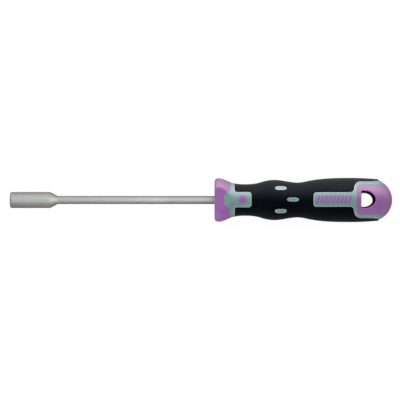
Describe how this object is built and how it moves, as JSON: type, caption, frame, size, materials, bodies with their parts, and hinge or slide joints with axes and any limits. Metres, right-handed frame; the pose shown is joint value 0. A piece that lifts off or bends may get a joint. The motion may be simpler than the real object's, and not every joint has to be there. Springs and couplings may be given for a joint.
{
  "type": "nut driver",
  "caption": "Hand nut driver: a fixed hexagon socket on a round steel shank, in a three-colour moulded handle with anti-roll flats, soft grip and a hanging hole.",
  "frame": {"origin": "centre of the hexagon socket's mouth, on the tool's axis", "axes": "+X along the tool's axis from the socket to the handle's end, +Z along the hanging hole and square to the flats on the collar"},
  "size_m": [0.2336, 0.027, 0.027],
  "materials": {
    "satin_chrome": "satin chrome plate on steel",
    "purple_plastic": "fine matt moulded polypropylene",
    "grey_green_plastic": "fine matt moulded polypropylene",
    "black_elastomer": "matt thermoplastic elastomer"
  },
  "bodies": {
    "root": {"socket": "satin_chrome", "shank": "satin_chrome", "handle_core": "purple_plastic", "handle_sleeve": "grey_green_plastic", "grip_cover": "black_elastomer"}
  },
  "joints": []
}
